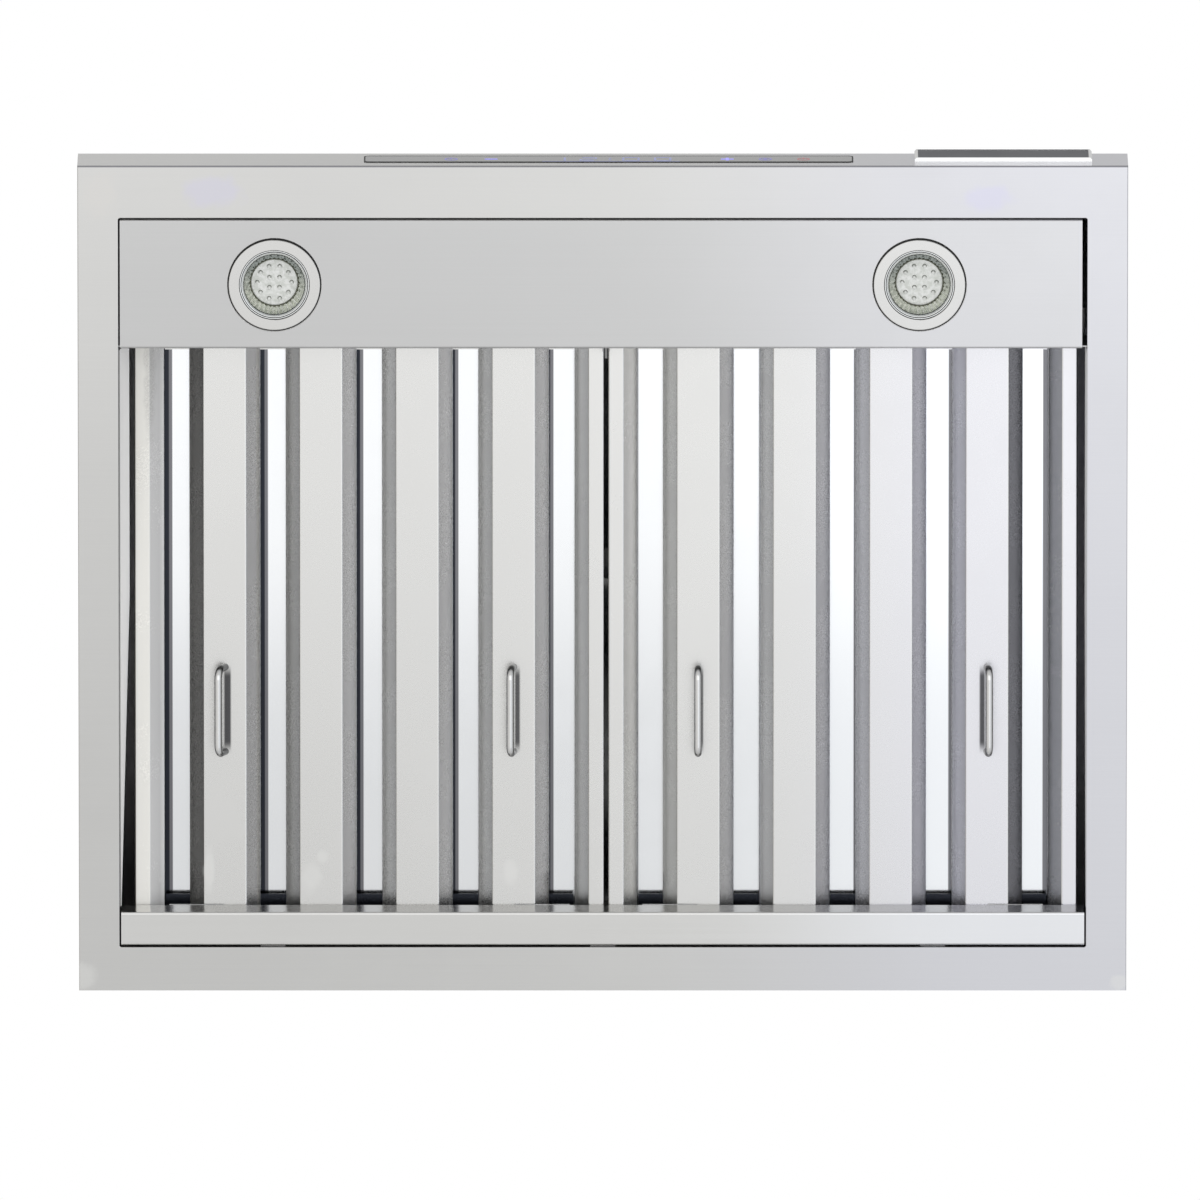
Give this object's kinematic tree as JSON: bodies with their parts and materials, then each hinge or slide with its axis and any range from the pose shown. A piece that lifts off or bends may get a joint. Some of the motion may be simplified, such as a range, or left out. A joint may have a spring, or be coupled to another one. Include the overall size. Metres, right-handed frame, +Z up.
{
  "type": "wall mount range hood",
  "caption": "Wall mount chimney range hood with a pyramid canopy, front lamps, sloped baffle filters, rear drip tray, touch control strip and ducted blower.",
  "frame": {"origin": "lower rim plane at the wall plane, in the middle of the hood's width", "axes": "+X to the right as seen from the front, +Y into the wall, +Z up"},
  "size_m": [0.762, 0.6145, 0.9006],
  "materials": {
    "canopy_steel": "brushed along the width",
    "panel_steel": "fine brushed",
    "baffle_steel": "satin",
    "handle_wire": "polished wire",
    "galvanised": "galvanised sheet",
    "spring_steel": "bright",
    "fasteners": "zinc plated",
    "control_glass": "polished dark glass",
    "black_plastic": "moulded",
    "circuit_board": "solder mask",
    "badge_metal": "satin chrome",
    "badge_inlay": "dark enamel, bare",
    "lamp_metal": "satin",
    "lamp_reflector": "fluted bright",
    "lamp_lens": "clear white lens",
    "blower_wheel": "stamped",
    "motor_black": "satin black",
    "capacitor_shell": "plain",
    "grommet_rubber": "soft"
  },
  "bodies": {
    "hood": {"canopy_shell": "canopy_steel", "bottom_frame": "canopy_steel", "back_panel": "galvanised", "top_plate": "galvanised", "light_panel": "panel_steel", "front_divider": "galvanised", "side_liner_left": "panel_steel", "side_liner_right": "panel_steel", "filter_rest_rail": "galvanised", "filter_catches": "spring_steel", "tray_clips": "spring_steel", "lamp_springs": "spring_steel", "control_glass": "control_glass", "control_frame": "black_plastic", "control_board": "circuit_board", "badge_plate": "badge_metal", "badge_inlay": "badge_inlay", "blower_scroll": "galvanised", "blower_side_left": "galvanised", "blower_side_right": "galvanised", "blower_hangers": "galvanised", "motor": "motor_black", "motor_bracket": "galvanised", "outlet_adapter": "galvanised", "duct_collar": "galvanised", "damper_rod": "spring_steel", "capacitor": "capacitor_shell", "junction_box": "galvanised", "junction_box_lid": "galvanised", "led_driver": "black_plastic", "cable_grommet": "grommet_rubber", "chimney_lower": "canopy_steel", "blower_screws": "fasteners", "duct_screws": "fasteners", "cover_screws": "fasteners", "panel_screws": "fasteners", "lamp_bezel_left": "lamp_metal", "lamp_bezel_right": "lamp_metal", "lamp_body_left": "lamp_metal", "lamp_body_right": "lamp_metal", "lamp_reflector_left": "lamp_reflector", "lamp_reflector_right": "lamp_reflector", "lamp_lens_left": "lamp_lens", "lamp_lens_right": "lamp_lens"},
    "filter_left": {"filter_frame_left": "baffle_steel", "lower_baffles_left": "baffle_steel", "upper_baffles_left": "baffle_steel", "filter_handles_left": "handle_wire"},
    "filter_right": {"filter_frame_right": "baffle_steel", "lower_baffles_right": "baffle_steel", "upper_baffles_right": "baffle_steel", "filter_handles_right": "handle_wire"},
    "tray": {"drip_tray": "panel_steel"},
    "upper_cover": {"chimney_upper": "canopy_steel", "ceiling_bracket": "galvanised", "bracket_screws": "fasteners"},
    "blower_wheel": {"impeller": "blower_wheel", "motor_shaft": "spring_steel"},
    "damper_front": {"damper_flap_front": "blower_wheel"},
    "damper_rear": {"damper_flap_rear": "blower_wheel"}
  },
  "joints": [
    {"name": "filter_left_swing", "type": "hinge", "parent": "hood", "child": "filter_left", "pos_m": [0, -0.0614, 0.01457], "axis": [1, 0, 0], "range_deg": [0, 45]},
    {"name": "filter_right_swing", "type": "hinge", "parent": "hood", "child": "filter_right", "pos_m": [0, -0.0614, 0.01457], "axis": [1, 0, 0], "range_deg": [0, 45]},
    {"name": "tray_unclip", "type": "slide", "parent": "hood", "child": "tray", "axis": [0, 0, -1], "range_m": [0, 0.06]},
    {"name": "upper_cover_slide", "type": "slide", "parent": "hood", "child": "upper_cover", "axis": [0, 0, 1], "range_m": [-0.2, 0.15]},
    {"name": "blower_spin", "type": "hinge", "parent": "hood", "child": "blower_wheel", "pos_m": [0, -0.13, 0.193], "axis": [1, 0, 0], "continuous": true},
    {"name": "damper_front_swing", "type": "hinge", "parent": "hood", "child": "damper_front", "pos_m": [0, -0.171, 0.386], "axis": [-1, 0, 0], "range_deg": [0, 75]},
    {"name": "damper_rear_swing", "type": "hinge", "parent": "hood", "child": "damper_rear", "pos_m": [0, -0.171, 0.386], "axis": [1, 0, 0], "range_deg": [0, 75]}
  ]
}
